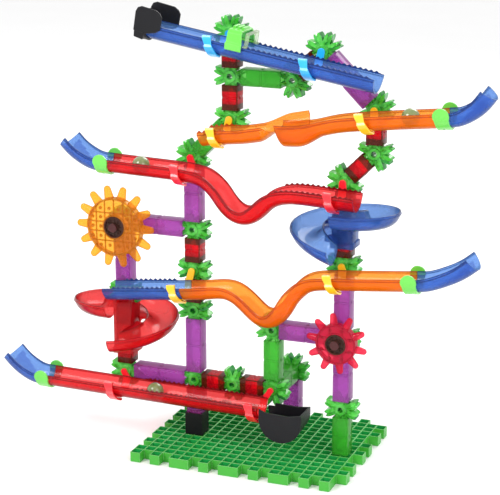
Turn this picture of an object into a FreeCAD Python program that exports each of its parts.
import FreeCAD, Part
import Sketcher
import math
import os

from FreeCAD import Placement, Rotation, Vector

# Marble run: a toothed base plate, an upright frame of square tubes joined by
# eight-point stars, half-pipe tracks clipped to the stars, two spirals, two paddle
# wheels, an end stop, a gate, a catcher bucket and three marbles.
# Origin: centre of the base plate's underside. +X right, +Y to the back, +Z up.
# Millimetres and degrees. The tracks and wheels stand in front of the frame.

os.makedirs("parts", exist_ok=True)
doc = FreeCAD.newDocument("marble_run")

# ---------------------------------------------------------------- driving sizes
SIZES = [
    # base plate: a grid of square cells, open at the top
    ("cell_pitch", 9.5), ("plate_thick", 9.3), ("plate_floor", 2.0), ("pocket_side", 8.3),
    ("cells_long", 19), ("cells_wide", 14),
    # square tubes and their notches
    ("tube_side", 14.9), ("tube_wall", 0.95), ("tube_long", 51.5), ("tube_medium", 37.0),
    ("tube_short", 22.4), ("notch_side", 2.6), ("tube_foot", 43.3), ("tube_post", 35.5),
    ("tube_leg", 43.3),
    # star connectors: tip, shoulder and valley are radii
    ("star_tip", 15.2), ("tip_flat", 1.2), ("star_shoulder", 11.0), ("shoulder_half", 2.35),
    ("star_valley", 8.7), ("star_thick", 12.4), ("boss_dia", 11.0), ("boss_front", 7.2),
    ("boss_rear", 9.7), ("star_bore", 5.0), ("slot_wide", 0.5), ("slot_deep", 3.6),
    # half-pipe section: radii, and the height of their centre over the rims
    ("track_outer", 14.8), ("track_inner", 13.4), ("track_rise", 1.0),
    # foot sockets
    ("foot_side", 16.9), ("foot_tall", 21.0), ("foot_clear", 15.3), ("foot_floor", 2.0),
    ("cup_tall", 14.0),
    # spirals
    ("coil_radius", 33.5), ("coil_pitch", 33.0), ("coil_sleeve", 21.4),
    ("coil_sleeve_bore", 15.3), ("coil_sleeve_tall", 41.0), ("coil_web", 1.6),
    # paddle wheels, hubs and pins
    ("wheel_thick", 7.6), ("big_tip_radius", 38.3), ("big_body_radius", 27.0),
    ("big_finger", 8.4), ("small_tip_radius", 28.0), ("small_body_radius", 18.5),
    ("small_finger", 7.0), ("hub_big", 20.0), ("hub_small", 18.6), ("hub_tall", 16.4),
    ("wheel_bore", 5.0), ("pin_dia", 4.9), ("pin_head_dia", 8.0), ("pin_head_tall", 2.0),
    ("pin_long", 36.2),
    # saddles, clips, stop and bucket: inner and outer are radii
    ("saddle_inner", 14.9), ("saddle_outer", 16.8), ("saddle_long", 14.0), ("ear_dia", 14.0),
    ("clip_inner", 14.9), ("clip_outer", 16.4), ("clip_long", 11.0), ("tab_radius", 3.8),
    ("tab_thick", 2.1), ("tab_peg", 4.7), ("tab_peg_long", 8.0), ("stop_wall", 1.8),
    ("bucket_wall", 1.6), ("bucket_radius", 20.0), ("marble_dia", 16.0),
]

# Rim lines of the tracks, left to right: (x from the plate's left end, z).
STRAIGHT_TRACKS = {
    "top_track": [(3.0, 394.7), (215.3, 357.4)],
    "lower_left_track": [(-38.0, 151.4), (38.0, 159.6)],
    "bottom_track": [(-102.8, 60.2), (111.6, 56.2)],
}
CURVED_TRACKS = {
    "upper_left_track": [
        (57.0, 301.8), (66.0, 303.1), (80.0, 304.9), (95.0, 306.6), (112.0, 309.9),
        (124.2, 312.3)],
    "upper_right_track": [
        (127.4, 313.0), (138.0, 313.4), (148.0, 314.4), (158.0, 316.4), (170.0, 319.8),
        (186.0, 323.2), (210.0, 326.2), (236.0, 329.2), (264.0, 332.4), (271.8, 333.3)],
    "red_wave_track": [
        (-35.8, 271.35), (-17.0, 270.7), (5.0, 269.95), (27.0, 269.2), (47.0, 267.6),
        (58.0, 265.0), (68.0, 259.0), (76.5, 250.3), (84.5, 240.0), (95.0, 234.4),
        (105.0, 239.8), (114.0, 248.4), (124.0, 253.8), (137.0, 256.6), (155.0, 256.9),
        (172.0, 256.0), (198.5, 254.6)],
    "orange_wave_track": [
        (38.4, 159.7), (50.0, 161.0), (64.0, 163.3), (78.0, 164.4), (89.0, 161.6),
        (98.0, 155.8), (107.0, 148.0), (117.2, 142.4), (125.5, 148.0), (133.0, 160.2),
        (141.5, 170.5), (150.0, 177.4), (160.0, 181.2), (172.0, 183.0), (204.0, 185.9),
        (248.1, 190.1)],
    # the curved ends start straight at the couplers, then bend upwards
    "upper_right_curve": [
        (272.2, 333.35), (275.8, 333.77), (279.4, 334.18), (289.5, 338.6), (298.0, 345.6),
        (304.0, 353.6)],
    "upper_left_curve": [
        (-70.6, 288.2), (-64.0, 281.6), (-55.6, 276.0), (-43.4, 271.61), (-39.8, 271.49),
        (-36.2, 271.37)],
    "lower_right_curve": [
        (248.5, 190.14), (252.1, 190.48), (255.7, 190.82), (264.5, 193.2), (273.0, 196.8),
        (281.5, 201.0), (290.0, 206.6), (297.0, 212.4)],
    "bottom_left_curve": [
        (-138.0, 77.6), (-130.0, 69.8), (-122.0, 64.4), (-110.4, 60.35), (-106.8, 60.28),
        (-103.2, 60.21)],
}
TRACKS = {**STRAIGHT_TRACKS, **CURVED_TRACKS}

for track_name, ((x1, z1), (x2, z2)) in STRAIGHT_TRACKS.items():
    SIZES.append((track_name + "_length", round(math.hypot(x2 - x1, z2 - z1), 3)))

sheet = doc.addObject("Spreadsheet::Sheet", "Sizes")
for row, (alias, value) in enumerate(SIZES, start=1):
    sheet.set("A%d" % row, alias.replace("_", " "))
    sheet.set("B%d" % row, str(value))
    sheet.setAlias("B%d" % row, alias)
doc.recompute()


def size(alias):
    return float(getattr(sheet, alias))


def cell(alias):
    return "Sizes." + alias


# ---------------------------------------------------------------- places
PITCH = size("cell_pitch")
CELLS_LONG, CELLS_WIDE = int(size("cells_long")), int(size("cells_wide"))
# the teeth add one cell on every side
HALF_LONG = (CELLS_LONG + 2) * PITCH / 2
HALF_WIDE = (CELLS_WIDE + 2) * PITCH / 2
PLATE_TOP = size("plate_thick")

FRAME_Y = 66.9 - HALF_WIDE      # centre plane of the upright frame
TRACK_Y = 42.0 - HALF_WIDE      # centre plane of the tracks
WHEEL_Y = 47.2 - HALF_WIDE      # centre plane of the paddle wheels
HUB_BACK_Y = 59.2 - HALF_WIDE
PIN_BACK_Y = 76.4 - HALF_WIDE
LEG_Y = FRAME_Y + 52.5          # the rear leg stands behind the frame
Y_AXIS = Vector(0, 1, 0)

# Star centres: (x from the plate's left end, z).
STARS = {
    "left1": (37.5, 62.5), "left2": (37.5, 129.5), "left3": (37.5, 167.5),
    "left4": (37.5, 205.5), "left5": (37.5, 272.5), "left6": (74.7, 309.5),
    "left7": (74.7, 346.9), "left8": (74.7, 384.6),
    "top1": (132.2, 346.6), "top2": (159.1, 373.5), "top3": (206.5, 326.1),
    "top4": (206.5, 288.1),
    "right1": (179.6, 52.6), "right2": (179.6, 119.4), "right3": (179.6, 186.4),
    "right4": (179.6, 261.2),
    "outer1": (-32.3, 205.6), "outer2": (-32.3, 138.6), "outer3": (-32.3, 62.5),
    "low1": (75.5, 62.5), "low2": (113.7, 62.5), "low3": (113.7, 119.4),
}


def at(x, y, z):
    """Point with x measured from the plate's left end."""
    return Vector(x - HALF_LONG, y, z)


def star_point(name, y=FRAME_Y):
    x, z = STARS[name]
    return at(x, y, z)


LEG_TOP = star_point("low2", LEG_Y)


def rim_frame(x, z, angle):
    """Frame on a track's rim line: local X runs along the track."""
    return Placement(at(x, TRACK_Y, z), Rotation(Y_AXIS, -angle))


def rim_at(track, x):
    """Height and slope angle of a track's rim line at x."""
    points = TRACKS[track]
    for (x1, z1), (x2, z2) in zip(points[:-1], points[1:]):
        if x1 <= x <= x2:
            z = z1 + (z2 - z1) * (x - x1) / (x2 - x1)
            return z, math.degrees(math.atan2(z2 - z1, x2 - x1))
    raise RuntimeError("x is off the track")


# ---------------------------------------------------------------- sketches
def new_body(label):
    return doc.addObject("PartDesign::Body", label)


def new_sketch(body, name, role, offset=0.0):
    # an XZ sketch faces the front: its pads run along -Y
    plane = next(item for item in body.Origin.OriginFeatures if item.Role == role)
    sketch = body.newObject("Sketcher::SketchObject", name)
    sketch.AttachmentSupport = [(plane, "")]
    sketch.MapMode = "FlatFace"
    sketch.AttachmentOffset = Placement(Vector(0, 0, offset), Rotation())
    return sketch


def constrain(sketch, *constraint):
    return sketch.addConstraint(Sketcher.Constraint(*constraint))


def dimension(sketch, expression, *constraint):
    index = constrain(sketch, *constraint)
    sketch.setExpression("Constraints[%d]" % index, expression)


def line(sketch, start, end):
    return sketch.addGeometry(Part.LineSegment(Vector(*start, 0), Vector(*end, 0)), False)


def polyline(sketch, points):
    for start, end in zip(points[:-1], points[1:]):
        line(sketch, start, end)


def arc(sketch, x, y, radius, start=math.pi, end=2 * math.pi):
    """Arc of a circle, by default its lower half."""
    full = Part.Circle(Vector(x, y, 0), Vector(0, 0, 1), radius)
    return sketch.addGeometry(Part.ArcOfCircle(full, start, end), False)


def polygon(sketch, points):
    first = sketch.GeometryCount
    count = len(points)
    polyline(sketch, points + points[:1])
    for i in range(count):
        constrain(sketch, "Coincident", first + i, 2, first + (i + 1) % count, 1)


def square_at(sketch, x, y, side, expression):
    """Square with its lower left corner at x, y; returns its first line's index."""
    first = sketch.GeometryCount
    polygon(sketch, [(x, y), (x + side, y), (x + side, y + side), (x, y + side)])
    for i in range(4):
        constrain(sketch, "Horizontal" if i % 2 == 0 else "Vertical", first + i)
    dimension(sketch, expression, "DistanceX", first, 1, first, 2, side)
    dimension(sketch, expression, "DistanceY", first + 1, 1, first + 1, 2, side)
    return first


def square(sketch, side, expression):
    """Square centred on the sketch origin."""
    first = square_at(sketch, -side / 2, -side / 2, side, expression)
    constrain(sketch, "Symmetric", first, 1, first + 1, 2, -1, 1)


def circle(sketch, alias, kind="Diameter"):
    """Circle on the sketch origin; kind says what the alias holds."""
    radius = size(alias) / 2 if kind == "Diameter" else size(alias)
    full = Part.Circle(Vector(0, 0, 0), Vector(0, 0, 1), radius)
    index = sketch.addGeometry(full, False)
    constrain(sketch, "Coincident", index, 3, -1, 1)
    dimension(sketch, cell(alias), kind, index, size(alias))


def half_pipe(sketch, centre_alias=None):
    """Track section: rims on the sketch's horizontal axis, bowl below it."""
    outer, inner, rise = size("track_outer"), size("track_inner"), size("track_rise")
    centre = size(centre_alias) if centre_alias else 0.0
    arcs, half_widths = [], []
    for radius in (outer, inner):
        dip = math.asin(rise / radius)
        arcs.append(arc(sketch, centre, rise, radius, math.pi + dip, 2 * math.pi - dip))
        half_widths.append(math.sqrt(radius ** 2 - rise ** 2))
    outer_arc, inner_arc = arcs
    wide, narrow = half_widths
    left_rim = line(sketch, (centre - wide, 0), (centre - narrow, 0))
    right_rim = line(sketch, (centre + narrow, 0), (centre + wide, 0))
    constrain(sketch, "Coincident", outer_arc, 1, left_rim, 1)
    constrain(sketch, "Coincident", inner_arc, 1, left_rim, 2)
    constrain(sketch, "Coincident", inner_arc, 2, right_rim, 1)
    constrain(sketch, "Coincident", outer_arc, 2, right_rim, 2)
    for rim in (left_rim, right_rim):
        for end in (1, 2):
            constrain(sketch, "PointOnObject", rim, end, -1)
    constrain(sketch, "Coincident", outer_arc, 3, inner_arc, 3)
    dimension(sketch, cell("track_outer"), "Radius", outer_arc, outer)
    dimension(sketch, cell("track_inner"), "Radius", inner_arc, inner)
    dimension(sketch, cell("track_rise"), "DistanceY", -1, 1, outer_arc, 3, rise)
    if centre_alias:
        dimension(sketch, cell(centre_alias), "DistanceX", -1, 1, outer_arc, 3, centre)
    else:
        constrain(sketch, "PointOnObject", outer_arc, 3, -2)


# ---------------------------------------------------------------- features
def extrude(kind, body, sketch, name, length, mid=False, reverse=False):
    feature = body.newObject(kind, name)
    feature.Profile = (sketch, [""])
    feature.setExpression("Length", length)
    if mid:
        feature.SideType = "Symmetric"
    feature.Reversed = reverse
    sketch.Visibility = False
    return feature


def pad(*args, **options):
    return extrude("PartDesign::Pad", *args, **options)


def pocket(*args, **options):
    return extrude("PartDesign::Pocket", *args, **options)


def repeat_round(body, feature, sketch, name, count):
    doc.recompute()
    pattern = body.newObject("PartDesign::PolarPattern", name)
    pattern.Originals = [feature]
    pattern.Axis = (sketch, ["N_Axis"])
    pattern.Angle = 360
    pattern.Occurrences = count
    body.Tip = pattern
    doc.recompute()


def box(name, sides, corner):
    """Box; a side given as text is an expression."""
    block = doc.addObject("Part::Box", name)
    for side, value in zip(("Length", "Width", "Height"), sides):
        if isinstance(value, str):
            block.setExpression(side, value)
        else:
            setattr(block, side, value)
    block.Placement = Placement(Vector(*corner), Rotation())
    return block


def combine(kind, name, shapes):
    result = doc.addObject(kind, name)
    result.Shapes = shapes
    return result


pieces = []


def keep(piece, placement=None):
    """Adds a piece to the export, set in its place."""
    if placement is not None:
        piece.Placement = placement
    pieces.append(piece)


def group(label, master, placements):
    """One piece made of placed copies of a master."""
    links = []
    for k, placement in enumerate(placements, start=1):
        item = doc.addObject("App::Link", "%s_%d" % (label, k))
        item.LinkedObject = master
        item.Placement = placement
        links.append(item)
    compound = doc.addObject("Part::Compound", label)
    compound.Links = links
    keep(compound)


# ---------------------------------------------------------------- base plate
# teeth along each side: (first cell, cell after the last)
FRONT_TEETH = [(2, 3), (4, 6), (7, 8), (9, 11), (12, 13), (14, 16), (17, 18), (19, 20)]
BACK_TEETH = [(1, 2), (3, 4), (6, 7), (8, 9), (11, 12), (13, 14), (16, 17), (18, 19)]
LEFT_TEETH = [(0, 2), (3, 4), (5, 7), (8, 9), (10, 12), (13, 14)]
RIGHT_TEETH = [(2, 3), (4, 5), (7, 8), (9, 10), (12, 13), (14, 15)]
TOOTH_LAP = 0.5     # teeth sink this far into the slab so that they fuse to it


def base_plate():
    # (column, row, columns, rows, x and y direction towards the slab)
    teeth = [(a, 0, b - a, 1, 0, 1) for a, b in FRONT_TEETH]
    teeth += [(a, CELLS_WIDE + 1, b - a, 1, 0, -1) for a, b in BACK_TEETH]
    teeth += [(0, a, 1, b - a, 1, 0) for a, b in LEFT_TEETH]
    teeth += [(CELLS_LONG + 1, a, 1, b - a, -1, 0) for a, b in RIGHT_TEETH]

    pitch = cell("cell_pitch")
    blocks = [box("plate_slab",
                  (cell("cells_long") + " * " + pitch, cell("cells_wide") + " * " + pitch,
                   cell("plate_thick")),
                  (PITCH - HALF_LONG, PITCH - HALF_WIDE, 0))]
    cells = {(i, j) for i in range(1, CELLS_LONG + 1) for j in range(1, CELLS_WIDE + 1)}
    for column, row, columns, rows, inward_x, inward_y in teeth:
        x = column * PITCH + min(inward_x, 0) * TOOTH_LAP
        y = row * PITCH + min(inward_y, 0) * TOOTH_LAP
        blocks.append(box(
            "plate_tooth_%d_%d" % (column, row),
            (columns * PITCH + abs(inward_x) * TOOTH_LAP,
             rows * PITCH + abs(inward_y) * TOOTH_LAP, cell("plate_thick")),
            (x - HALF_LONG, y - HALF_WIDE, 0)))
        cells |= {(column + i, row + j) for i in range(columns) for j in range(rows)}
    block = combine("Part::MultiFuse", "plate_block", blocks)
    block.Refine = True

    side = size("pocket_side")
    pits = doc.addObject("Part::Feature", "plate_pits")
    pits.Shape = Part.makeCompound([
        Part.makeBox(side, side, PLATE_TOP,
                     Vector((i + 0.5) * PITCH - side / 2 - HALF_LONG,
                            (j + 0.5) * PITCH - side / 2 - HALF_WIDE,
                            size("plate_floor")))
        for i, j in sorted(cells)])
    plate = doc.addObject("Part::Cut", "base_plate")
    plate.Base, plate.Tool = block, pits
    keep(plate)


base_plate()

# ---------------------------------------------------------------- square tubes
FOOT_TUBE_Z = PLATE_TOP + size("foot_floor") + 0.05    # just clear of the socket floor
COIL_TUBE_GAP = 7.8     # star centre to the end of a tube inside a spiral

# label, length, star at the start, star at the end
FRAME_TUBES = [
    ("left_column_lower_tube", "tube_long", "left1", "left2"),
    ("left_column_upper_tube", "tube_long", "left4", "left5"),
    ("wheel_beam_tube", "tube_long", "outer1", "left4"),
    ("outer_column_upper_tube", "tube_long", "outer2", "outer1"),
    ("outer_beam_lower_tube", "tube_long", "outer3", "left1"),
    ("right_column_upper_tube", "tube_long", "right2", "right3"),
    ("right_column_lower_tube", "tube_long", "right1", "right2"),
    ("wheel_beam_right_tube", "tube_long", "low3", "right2"),
    ("top_brace_tube", "tube_long", "top2", "top3"),
    ("left_brace_tube", "tube_medium", "left5", "left6"),
    ("top_beam_tube", "tube_medium", "left7", "top1"),
    ("middle_post_tube", "tube_medium", "low2", "low3"),
]
# label, length, x, y, z of the lower end
STANDING_TUBES = [
    ("left_foot_tube", "tube_foot", STARS["left1"][0], FRAME_Y, FOOT_TUBE_Z),
    ("right_foot_tube", "tube_post", STARS["right1"][0], FRAME_Y, PLATE_TOP),
    ("rear_leg_tube", "tube_leg", STARS["low2"][0], LEG_Y, FOOT_TUBE_Z),
]
# label, pairs of stars with a short tube between them
SHORT_TUBES = [
    ("left_column_short_tubes", [("left2", "left3"), ("left3", "left4"),
                                 ("left6", "left7"), ("left7", "left8")]),
    ("top_short_tubes", [("top1", "top2"), ("top4", "top3"), ("right4", "top4")]),
    ("bottom_short_tubes", [("left1", "low1"), ("low1", "low2")]),
]


def tube(label, length_alias):
    body = new_body(label)
    sketch = new_sketch(body, label + "_ring", "XY_Plane")
    square(sketch, size("tube_side"), cell("tube_side"))
    square(sketch, size("tube_side") - 2 * size("tube_wall"),
           "%s - 2 * %s" % (cell("tube_side"), cell("tube_wall")))
    pad(body, sketch, label + "_pad", cell(length_alias))

    # small square notches half way up the front and back faces
    sketch = new_sketch(body, label + "_notch_sketch", "XZ_Plane")
    notch = size("notch_side")
    low = size(length_alias) / 2 - notch / 2
    first = square_at(sketch, -notch / 2, low, notch, cell("notch_side"))
    dimension(sketch, cell("notch_side") + " / 2",
              "DistanceX", first, 1, -1, 1, notch / 2)
    dimension(sketch, "%s / 2 - %s / 2" % (cell(length_alias), cell("notch_side")),
              "DistanceY", -1, 1, first, 1, low)
    pocket(body, sketch, label + "_notch", "2 * " + cell("tube_side"), mid=True)
    doc.recompute()
    return body


def between(start, end, length_alias):
    """Placement of a tube centred between two star centres, flats along the frame."""
    step = end - start
    gap = (step.Length - size(length_alias)) / 2
    along = step.normalize()
    if abs(along.y) > 0.5:
        turn = Rotation(Vector(1, 0, 0), -90)
    else:
        turn = Rotation(Y_AXIS, math.degrees(math.atan2(along.x, along.z)))
    return Placement(start + along * gap, turn)


def coil_tubes(top, bottom):
    """One short tube hangs under the upper star, one stands on the lower star."""
    x = STARS[top][0]
    hanging = STARS[top][1] - COIL_TUBE_GAP - size("tube_short")
    standing = STARS[bottom][1] + COIL_TUBE_GAP
    return [Placement(at(x, FRAME_Y, z), Rotation()) for z in (hanging, standing)]


for label, length, start, end in FRAME_TUBES:
    keep(tube(label, length), between(star_point(start), star_point(end), length))
keep(tube("rear_beam_tube", "tube_medium"),
     between(star_point("low2"), LEG_TOP, "tube_medium"))
for label, length, x, y, z in STANDING_TUBES:
    keep(tube(label, length), Placement(at(x, y, z), Rotation()))

short_tube = tube("short_tube_master", "tube_short")
for label, pairs in SHORT_TUBES:
    group(label, short_tube, [between(star_point(start), star_point(end), "tube_short")
                              for start, end in pairs])
group("outer_column_short_tubes", short_tube, coil_tubes("outer2", "outer3"))
group("right_column_short_tubes", short_tube, coil_tubes("right4", "right3"))

# ---------------------------------------------------------------- star connectors
STAR_POINTS = 8
STAR_STEP = 360 / STAR_POINTS
STAR_GROUPS = [
    ("left_column_stars", ["left1", "left2", "left3", "left4", "left5"]),
    ("upper_left_stars", ["left6", "left7", "left8"]),
    ("top_bridge_stars", ["top1", "top2", "top3", "top4"]),
    ("right_column_stars", ["right4", "right3", "right2", "right1"]),
    ("outer_column_stars", ["outer1", "outer2", "outer3"]),
]


def turned(radius, sideways, angle):
    """Point at a radius along a ray, moved sideways off it."""
    cosine, sine = math.cos(math.radians(angle)), math.sin(math.radians(angle))
    return (radius * cosine - sideways * sine, radius * sine + sideways * cosine)


def star_master():
    body = new_body("star_master")
    tip, tip_half = size("star_tip"), size("tip_flat") / 2
    shoulder, shoulder_half = size("star_shoulder"), size("shoulder_half")
    outline = []
    for k in range(STAR_POINTS):
        ray = STAR_STEP * (k + 0.5)
        outline += [
            turned(size("star_valley"), 0, STAR_STEP * k),
            turned(shoulder, -shoulder_half, ray), turned(tip, -tip_half, ray),
            turned(tip, tip_half, ray), turned(shoulder, shoulder_half, ray)]
    sketch = new_sketch(body, "star_outline", "XZ_Plane")
    polygon(sketch, outline)
    pad(body, sketch, "star_pad", cell("star_thick"), mid=True)

    sketch = new_sketch(body, "star_boss_circle", "XZ_Plane")
    circle(sketch, "boss_dia")
    pad(body, sketch, "star_boss_front", cell("boss_front"))
    sketch = new_sketch(body, "star_boss_rear_circle", "XZ_Plane")
    circle(sketch, "boss_dia")
    pad(body, sketch, "star_boss_rear", cell("boss_rear"), reverse=True)
    sketch = new_sketch(body, "star_bore_circle", "XZ_Plane")
    circle(sketch, "star_bore")
    pocket(body, sketch, "star_bore_cut", "4 * " + cell("boss_rear"), mid=True)

    # a narrow slot splits every tip
    sketch = new_sketch(body, "star_slot_sketch", "XZ_Plane")
    bottom, beyond, half = tip - size("slot_deep"), tip + 2, size("slot_wide") / 2
    polygon(sketch, [turned(radius, sideways, STAR_STEP / 2) for radius, sideways in (
        (bottom, -half), (beyond, -half), (beyond, half), (bottom, half))])
    slot = pocket(body, sketch, "star_slot", "2 * " + cell("star_thick"), mid=True)
    repeat_round(body, slot, sketch, "star_slots", STAR_POINTS)
    return body


def star_places(names):
    return [Placement(star_point(name), Rotation()) for name in names]


star = star_master()
for label, names in STAR_GROUPS:
    group(label, star, star_places(names))
# the star on the rear leg faces the back
rear_star = Placement(LEG_TOP, Rotation(Vector(0, 0, 1), 180))
group("bottom_row_stars", star, star_places(["low1", "low2", "low3"]) + [rear_star])


# ---------------------------------------------------------------- foot sockets
def foot(label, tall_alias, star_name, y):
    body = new_body(label)
    sketch = new_sketch(body, label + "_outline", "XY_Plane")
    square(sketch, size("foot_side"), cell("foot_side"))
    pad(body, sketch, label + "_pad", cell(tall_alias))
    sketch = new_sketch(body, label + "_well_sketch", "XY_Plane", size("foot_floor"))
    square(sketch, size("foot_clear"), cell("foot_clear"))
    pocket(body, sketch, label + "_well", cell(tall_alias), reverse=True)
    doc.recompute()
    keep(body, Placement(at(STARS[star_name][0], y, PLATE_TOP), Rotation()))


foot("front_foot_socket", "foot_tall", "left1", FRAME_Y)
foot("rear_foot_socket", "cup_tall", "low2", LEG_Y)


# ---------------------------------------------------------------- tracks
def track_start(label):
    """Frame at the first rim point, and its slope in radians."""
    (x1, z1), (x2, z2) = TRACKS[label][:2]
    slope = math.atan2(z2 - z1, x2 - x1)
    return rim_frame(x1, z1, math.degrees(slope)), slope


def straight_track(label):
    body = new_body(label)
    sketch = new_sketch(body, label + "_section", "YZ_Plane")
    half_pipe(sketch)
    pad(body, sketch, label + "_pad", cell(label + "_length"))
    keep(body, track_start(label)[0])


def curved_track(label):
    """Section swept along a spline through the rim points, starting along local X."""
    body = new_body(label)
    points = TRACKS[label]
    frame, slope = track_start(label)
    cosine, sine = math.cos(slope), math.sin(slope)
    local = []
    for x, z in points:
        across, up = x - points[0][0], z - points[0][1]
        local.append(Vector(across * cosine + up * sine, -across * sine + up * cosine, 0))
    sketch = new_sketch(body, label + "_section", "YZ_Plane")
    half_pipe(sketch)
    path = new_sketch(body, label + "_path", "XZ_Plane")
    curve = Part.BSplineCurve()
    curve.interpolate(Points=local, InitialTangent=Vector(1, 0, 0),
                      FinalTangent=(local[-1] - local[-2]).normalize())
    path.addGeometry(curve, False)
    doc.recompute()
    pipe = body.newObject("PartDesign::AdditivePipe", label + "_pipe")
    pipe.Profile = (sketch, [""])
    pipe.Spine = (path, ["Edge1"])
    doc.recompute()
    keep(body, frame)


for label in STRAIGHT_TRACKS:
    straight_track(label)
for label in CURVED_TRACKS:
    curved_track(label)

# ---------------------------------------------------------------- spirals
COIL_TURNS = 0.995          # just short of a full turn
FLANGE_INNER = 10.9         # where the flange section starts, from the coil axis
FLANGE_LAP = 0.7            # how far it reaches past the channel's outside at the rim


def wind(body, sketch, name, left_handed):
    coil = body.newObject("PartDesign::AdditiveHelix", name)
    coil.Profile = (sketch, [""])
    coil.ReferenceAxis = (sketch, ["V_Axis"])
    coil.Mode = 0       # pitch and height
    coil.setExpression("Pitch", cell("coil_pitch"))
    coil.setExpression("Height", "%s * %g" % (cell("coil_pitch"), COIL_TURNS))
    coil.LeftHanded = left_handed
    coil.Reversed = True
    doc.recompute()


def spiral(label, star_name, z_start, sleeve_top, left_handed):
    """The half-pipe makes one turn down round a square sleeve on the column."""
    body = new_body(label)
    sketch = new_sketch(body, label + "_section", "XZ_Plane")
    half_pipe(sketch, "coil_radius")
    doc.recompute()
    wind(body, sketch, label + "_coil", left_handed)

    # helical flange from the inner rim to the sleeve
    sketch = new_sketch(body, label + "_flange_section", "XZ_Plane")
    half_width = math.sqrt(size("track_outer") ** 2 - size("track_rise") ** 2)
    reach = size("coil_radius") - half_width + FLANGE_LAP
    web = size("coil_web")
    polygon(sketch, [(FLANGE_INNER, -web), (reach, -web), (reach, 0), (FLANGE_INNER, 0)])
    doc.recompute()
    wind(body, sketch, label + "_flange", left_handed)

    sketch = new_sketch(body, label + "_sleeve_ring", "XY_Plane", sleeve_top - z_start)
    square(sketch, size("coil_sleeve"), cell("coil_sleeve"))
    square(sketch, size("coil_sleeve_bore"), cell("coil_sleeve_bore"))
    pad(body, sketch, label + "_sleeve", cell("coil_sleeve_tall"), reverse=True)
    doc.recompute()
    keep(body, Placement(at(STARS[star_name][0], FRAME_Y, z_start),
                         Rotation(Vector(0, 0, 1), -90)))


spiral("red_spiral", "outer2", z_start=136.9, sleeve_top=121.6, left_handed=False)
spiral("blue_spiral", "right4", z_start=240.6, sleeve_top=243.8, left_handed=True)

# ---------------------------------------------------------------- saddles
SADDLE_INNER, SADDLE_OUTER = size("saddle_inner"), size("saddle_outer")
RISE = size("track_rise")


def trimmed_saddle(prefix, arm, draw_side, result_name):
    """A U band with upright arms, trimmed by a profile seen from the front."""
    band = new_body(prefix + "_blank_band")
    sketch = new_sketch(band, prefix + "_blank_band_section", "YZ_Plane")
    arc(sketch, 0, RISE, SADDLE_OUTER)
    arc(sketch, 0, RISE, SADDLE_INNER)
    arm_top = RISE + arm
    polyline(sketch, [(-SADDLE_OUTER, RISE), (-SADDLE_OUTER, arm_top),
                      (-SADDLE_INNER, arm_top), (-SADDLE_INNER, RISE)])
    polyline(sketch, [(SADDLE_INNER, RISE), (SADDLE_INNER, arm_top),
                      (SADDLE_OUTER, arm_top), (SADDLE_OUTER, RISE)])
    pad(band, sketch, prefix + "_blank_band_pad", "2 * " + cell("saddle_long"), mid=True)

    side = new_body(prefix + "_side")
    sketch = new_sketch(side, prefix + "_side_profile", "XZ_Plane")
    draw_side(sketch)
    pad(side, sketch, prefix + "_side_pad", "4 * " + cell("saddle_outer"), mid=True)
    return combine("Part::MultiCommon", result_name, [band, side])


# Couplers: a round ear over a body that narrows to a slotted foot.
EAR_Z = -2.3
EAR_START, EAR_END = math.radians(-28), math.radians(208)
COUPLER_FOOT = [(-5.2, -19), (-1.0, -19), (-1.0, -13.2), (1.0, -13.2), (1.0, -19), (5.6, -19)]
# rim x, rim z, slope
COUPLER_PLACES = [(272.0, 333.33, 6.6), (-36.0, 271.36, -1.95),
                  (248.3, 190.12, 5.4), (-103.0, 60.2, -1.07)]


def draw_coupler_side(sketch):
    radius = size("ear_dia") / 2
    right, left = [(radius * math.cos(angle), EAR_Z + radius * math.sin(angle))
                   for angle in (EAR_START, EAR_END)]
    arc(sketch, 0, EAR_Z, radius, EAR_START, EAR_END)
    polyline(sketch, [left] + COUPLER_FOOT + [right])


coupler = trimmed_saddle("coupler", 20, draw_coupler_side, "coupler_master")
doc.recompute()
group("couplers", coupler, [rim_frame(*place) for place in COUPLER_PLACES])

# End stop: a saddle with tall cheeks and a closed left end.
STOP_SIDE = [(-13, -19), (9, -19), (14, -6), (14, 12), (9, 16.5), (-12, 16.5), (-14, 14),
             (-14, -12)]
STOP_WALL_X = -14.0
STOP_WALL_TOP = 10
STOP_ALONG = 11.8       # from the start of the top track to the stop's middle


def end_stop():
    cheeks = trimmed_saddle("stop", 30, lambda sketch: polygon(sketch, STOP_SIDE),
                            "stop_cheeks")
    wall = new_body("stop_wall")
    sketch = new_sketch(wall, "stop_wall_section", "YZ_Plane", STOP_WALL_X)
    arc(sketch, 0, RISE, SADDLE_OUTER)
    polyline(sketch, [(-SADDLE_OUTER, RISE), (-SADDLE_OUTER, STOP_WALL_TOP),
                      (SADDLE_OUTER, STOP_WALL_TOP), (SADDLE_OUTER, RISE)])
    pad(wall, sketch, "stop_wall_pad", cell("stop_wall"))
    stop = combine("Part::MultiFuse", "end_stop", [cheeks, wall])
    doc.recompute()
    start_x = TRACKS["top_track"][0][0]
    slope = rim_at("top_track", start_x)[1]
    x = start_x + STOP_ALONG * math.cos(math.radians(slope))
    keep(stop, rim_frame(x, *rim_at("top_track", x)))


end_stop()

# Gate: a saddle with a bridge and a lug over the rims, and a hood on its right.
GATE_X = 89.0
GATE_FRAME = rim_frame(GATE_X, *rim_at("top_track", GATE_X))
GATE_SIDE = [(-9, -9), (8, -9), (9, 2), (6, 10), (-7, 10), (-9, 0)]
HOOD_START, HOOD_LONG, HOOD_BASE = 9.4, 10.0, 0.2


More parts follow.
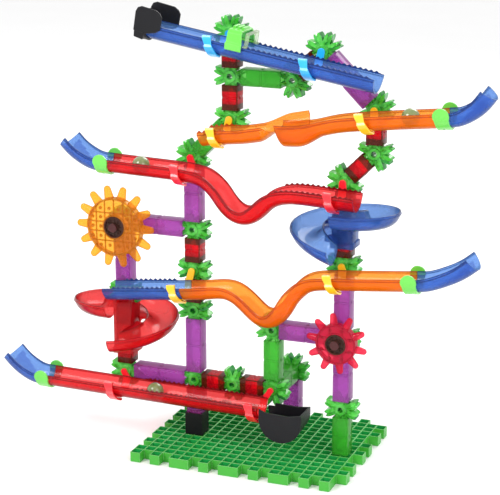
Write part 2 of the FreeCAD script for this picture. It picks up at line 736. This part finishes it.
def gate_saddle():
    cheeks = trimmed_saddle("gate", 10, lambda sketch: polygon(sketch, GATE_SIDE),
                            "gate_cheeks")
    bridge = box("gate_bridge", (13, "2 * " + cell("saddle_outer"), 1.8),
                 (-7, -SADDLE_OUTER, 9.6))
    lug = box("gate_lug", (7, 12, 4), (-2, 2, 10.8))
    keep(combine("Part::MultiFuse", "gate_saddle", [cheeks, bridge, lug]), GATE_FRAME)


def gate_hood():
    shell = doc.addObject("Part::Cut", "hood_shell")
    shell.Base = box("hood_outer", (HOOD_LONG, 24.0, 10.0), (HOOD_START, -12.0, HOOD_BASE))
    shell.Tool = box("hood_inner", (20.0, 21.0, 10.0), (4.0, -10.5, -1.3))
    feet = [box("hood_foot_%d" % k, (HOOD_LONG, 5.0, 1.4), (HOOD_START, y, HOOD_BASE))
            for k, y in enumerate((-15.9, 10.9), start=1)]
    keep(combine("Part::MultiFuse", "gate_hood", [shell] + feet), GATE_FRAME)


gate_saddle()
gate_hood()

# ---------------------------------------------------------------- catcher bucket
BUCKET_X, BUCKET_Z = 132.0, 47.0
HOLLOW_TOP = 20
MOUTH_BOTTOM, MOUTH_TOP = -6, 20


def catcher_bucket():
    body = new_body("catcher_bucket")
    radius = size("bucket_radius")
    sketch = new_sketch(body, "bucket_profile", "XZ_Plane")
    arc(sketch, 0, 0, radius)
    polyline(sketch, [(-radius, 0), (-radius, 13), (-14, 9.5), (8, 8.5), (radius, 12),
                      (radius, 0)])
    pad(body, sketch, "bucket_pad", "2 * " + cell("saddle_outer"), mid=True)

    sketch = new_sketch(body, "bucket_hollow_profile", "XZ_Plane")
    inner = radius - size("bucket_wall")
    arc(sketch, 0, 0, inner)
    polyline(sketch, [(-inner, 0), (-inner, HOLLOW_TOP), (inner, HOLLOW_TOP), (inner, 0)])
    pocket(body, sketch, "bucket_hollow",
           "2 * %s - 2 * %s" % (cell("saddle_outer"), cell("bucket_wall")), mid=True)

    # the mouth opens the left wall
    sketch = new_sketch(body, "bucket_mouth_profile", "YZ_Plane")
    half = SADDLE_INNER + 0.2
    polygon(sketch, [(-half, MOUTH_BOTTOM), (half, MOUTH_BOTTOM), (half, MOUTH_TOP),
                     (-half, MOUTH_TOP)])
    pocket(body, sketch, "bucket_mouth", "1.2 * " + cell("bucket_radius"))

    # the back wall is notched where the clip's tab stands
    sketch = new_sketch(body, "bucket_notch_profile", "XZ_Plane")
    polygon(sketch, [(-radius - 1, 4), (-13.4, 4), (-13.4, 16), (-radius - 1, 16)])
    pocket(body, sketch, "bucket_notch", "2 * " + cell("saddle_outer"))
    doc.recompute()
    keep(body, Placement(at(BUCKET_X, TRACK_Y, BUCKET_Z), Rotation()))


catcher_bucket()

# ---------------------------------------------------------------- clips
LIP_TALL, LIP_LAP = 2.2, 0.2    # straight lips on the band, and their sink into it
TAB_GAP = 0.1                   # tab in front of the frame, behind the band's bore
TAB_DROP, TAB_LIFT = 3.0, 0.5   # the tab's root reaches below and above the rim
TAB_TAPER_FROM = 1.5            # star height over the rim from which the tab tapers up
LOW_TAB_TALL = 6.0
PEG_LAP = 0.2
# label: (star, track, x of the clip)
CLIPS = {
    "cyan_clips": [("left8", "top_track", 69.5), ("top2", "top_track", 155.6)],
    "yellow_clips": [
        ("left6", "upper_left_track", 71.6), ("top3", "upper_right_track", 204.9),
        ("left3", "lower_left_track", 32.8), ("right3", "orange_wave_track", 178.6)],
    "red_clips": [
        ("left5", "red_wave_track", 37.2), ("right4", "red_wave_track", 177.9),
        ("outer3", "bottom_track", -31.3), ("low2", "bottom_track", 106.2)],
}


def clip_band(long, inner, outer):
    """Half ring with upright lips, centred on the rim frame."""
    x_axis = Vector(1, 0, 0)
    ring = Part.makeCylinder(outer, long, Vector(0, 0, RISE), x_axis)
    bore = Part.makeCylinder(inner, long + 2, Vector(-1, 0, RISE), x_axis)
    upper = Part.makeBox(long, 2 * outer, 40, Vector(0, -outer, RISE))
    lips = Part.makeBox(long, 2 * outer, LIP_TALL, Vector(0, -outer, RISE - LIP_LAP))
    lips = lips.cut(Part.makeBox(long + 2, 2 * inner, 10, Vector(-1, -inner, RISE - 4)))
    band = ring.cut(bore).cut(upper).fuse(lips)
    band.translate(Vector(-long / 2, 0, 0))
    return band


def clip_tab(star_x, star_z, rim_x, rim_z, angle, front_y):
    """Plate from the band to the star's centre, with a peg for the star's bore."""
    thick, radius, half = size("tab_thick"), size("tab_radius"), size("clip_long") / 2
    slope = math.radians(angle)
    cosine, sine = math.cos(slope), math.sin(slope)
    disc = Part.makeCylinder(radius, thick, Vector(star_x, front_y, star_z), Y_AXIS)
    rims = [(rim_x + end * half * cosine, rim_z + end * half * sine) for end in (-1, 1)]
    left_low, right_low = [Vector(x + TAB_DROP * sine, front_y, z - TAB_DROP * cosine)
                           for x, z in rims]
    left_high, right_high = [Vector(x, front_y, z + TAB_LIFT) for x, z in rims]
    tapers = star_z > rim_z + TAB_TAPER_FROM
    corners = [left_low, right_low, right_high]
    if tapers:
        corners += [Vector(star_x + radius, front_y, star_z),
                    Vector(star_x - radius, front_y, star_z)]
    corners += [left_high, left_low]
    plate = Part.Face(Part.makePolygon(corners)).extrude(Vector(0, thick, 0))
    tab = disc.fuse(plate)
    if not tapers:
        corner = Vector(star_x - radius, front_y, star_z - LOW_TAB_TALL / 2)
        tab = tab.fuse(Part.makeBox(2 * radius, thick, LOW_TAB_TALL, corner))
    peg = Part.makeCylinder(size("tab_peg") / 2, size("tab_peg_long"),
                            Vector(star_x, front_y + thick - PEG_LAP, star_z), Y_AXIS)
    return tab.fuse(peg)


def clip(star_name, track, rim_x):
    """Built with x from the plate's left end, then moved to the plate's centre."""
    inner, outer, long = size("clip_inner"), size("clip_outer"), size("clip_long")
    rim_z, angle = rim_at(track, rim_x)
    frame = Placement(Vector(rim_x, TRACK_Y, rim_z), Rotation(Y_AXIS, -angle))
    band = clip_band(long, inner, outer)
    band.Placement = frame.multiply(band.Placement)
    star_x, star_z = STARS[star_name]
    tab = clip_tab(star_x, star_z, rim_x, rim_z, angle, TRACK_Y + inner + TAB_GAP)

    # nothing of the tab may enter the channel
    reach = long + 30
    channel = Part.makeCylinder(inner, reach, Vector(-reach / 2, 0, RISE), Vector(1, 0, 0))
    channel.Placement = frame.multiply(channel.Placement)
    whole = band.fuse(tab).cut(channel).removeSplitter()
    if len(whole.Solids) != 1:
        raise RuntimeError("clip at %s is not one solid" % star_name)
    solid = whole.Solids[0]
    solid.translate(Vector(-HALF_LONG, 0, 0))
    return solid


for label, places in CLIPS.items():
    clips = doc.addObject("Part::Feature", label)
    clips.Shape = Part.makeCompound([clip(*place) for place in places])
    keep(clips)

# ---------------------------------------------------------------- paddle wheels
FINGER_LAP = 3              # fingers start this far inside the disc
FINGER_ROOT_FACTOR = 1.12   # root width over tip width
HUB_HOLES = 4
HUB_HOLE_CIRCLE, HUB_HOLE_RADIUS = 6.3, 1.3


def wheel(label, star_name, count, kind, turn):
    """Disc with round-ended fingers and a centre hole; kind is big or small."""
    body = new_body(label)
    sketch = new_sketch(body, label + "_disc", "XZ_Plane")
    circle(sketch, kind + "_body_radius", "Radius")
    pad(body, sketch, label + "_disc_pad", cell("wheel_thick"), mid=True)

    sketch = new_sketch(body, label + "_finger_sketch", "XZ_Plane")
    half = size(kind + "_finger") / 2
    root_half = half * FINGER_ROOT_FACTOR
    root = size(kind + "_body_radius") - FINGER_LAP
    end = size(kind + "_tip_radius") - half
    line(sketch, (root, -root_half), (end, -half))
    arc(sketch, end, 0, half, -math.pi / 2, math.pi / 2)
    polyline(sketch, [(end, half), (root, root_half), (root, -root_half)])
    finger = pad(body, sketch, label + "_finger", cell("wheel_thick"), mid=True)
    repeat_round(body, finger, sketch, label + "_fingers", count)

    sketch = new_sketch(body, label + "_centre_circle", "XZ_Plane")
    circle(sketch, "hub_" + kind)
    pocket(body, sketch, label + "_centre", "2 * " + cell("wheel_thick"), mid=True)
    doc.recompute()
    keep(body, Placement(star_point(star_name, WHEEL_Y), Rotation(Y_AXIS, turn)))


def hub(label, star_name, alias, has_holes):
    """Hub in the wheel's centre hole, with the running bore."""
    body = new_body(label)
    sketch = new_sketch(body, label + "_outline", "XZ_Plane")
    circle(sketch, alias)
    pad(body, sketch, label + "_pad", cell("hub_tall"))
    sketch = new_sketch(body, label + "_bore_circle", "XZ_Plane")
    circle(sketch, "wheel_bore")
    pocket(body, sketch, label + "_bore", "3 * " + cell("hub_tall"), mid=True)
    if has_holes:
        sketch = new_sketch(body, label + "_light_circles", "XZ_Plane")
        for k in range(HUB_HOLES):
            x, y = turned(HUB_HOLE_CIRCLE, 0, 45 + 360 / HUB_HOLES * k)
            hole = Part.Circle(Vector(x, y, 0), Vector(0, 0, 1), HUB_HOLE_RADIUS)
            sketch.addGeometry(hole, False)
        pocket(body, sketch, label + "_lights", "3 * " + cell("hub_tall"), mid=True)
    doc.recompute()
    keep(body, Placement(star_point(star_name, HUB_BACK_Y), Rotation()))


def pin_master():
    """Shaft running to the front, with its head at the front end."""
    body = new_body("wheel_pin_master")
    sketch = new_sketch(body, "pin_shaft_circle", "XZ_Plane")
    circle(sketch, "pin_dia")
    pad(body, sketch, "pin_shaft", cell("pin_long"))
    sketch = new_sketch(body, "pin_head_circle", "XZ_Plane",
                        size("pin_long") - size("pin_head_tall"))
    circle(sketch, "pin_head_dia")
    pad(body, sketch, "pin_head", cell("pin_head_tall"))
    doc.recompute()
    return body


wheel("orange_wheel", "outer1", count=14, kind="big", turn=0)
wheel("red_wheel", "right2", count=10, kind="small", turn=9)
hub("orange_wheel_hub", "outer1", "hub_big", has_holes=False)
hub("red_wheel_hub", "right2", "hub_small", has_holes=True)
group("wheel_pins", pin_master(), [Placement(star_point(name, PIN_BACK_Y), Rotation())
                                   for name in ("outer1", "right2")])

# ---------------------------------------------------------------- marbles
MARBLE_GAP = 0.15       # between the marble and the channel floor


def marble(label, track, x):
    z, angle = rim_at(track, x)
    slope = math.radians(angle)
    # centre over the rim line, square to the track
    lift = size("marble_dia") / 2 + MARBLE_GAP + RISE - size("track_inner")
    ball = doc.addObject("Part::Sphere", label)
    ball.setExpression("Radius", cell("marble_dia") + " / 2")
    centre = at(x - lift * math.sin(slope), TRACK_Y, z + lift * math.cos(slope))
    keep(ball, Placement(centre, Rotation()))


marble("upper_right_marble", "upper_right_track", 242.5)
marble("upper_left_marble", "red_wave_track", -3.0)
marble("bottom_marble", "bottom_track", 6.7)

# ---------------------------------------------------------------- check and write
doc.recompute()
failed = [item.Name for item in doc.Objects
          if "Invalid" in item.State or "Error" in item.State]
if failed:
    raise RuntimeError("failed objects: %s" % failed)
for piece in pieces:
    if piece.Shape.isNull() or not piece.Shape.isValid() or not piece.Shape.Solids:
        raise RuntimeError("bad shape: " + piece.Label)
for piece in pieces:
    piece.Shape.exportStep("parts/%s.step" % piece.Label)
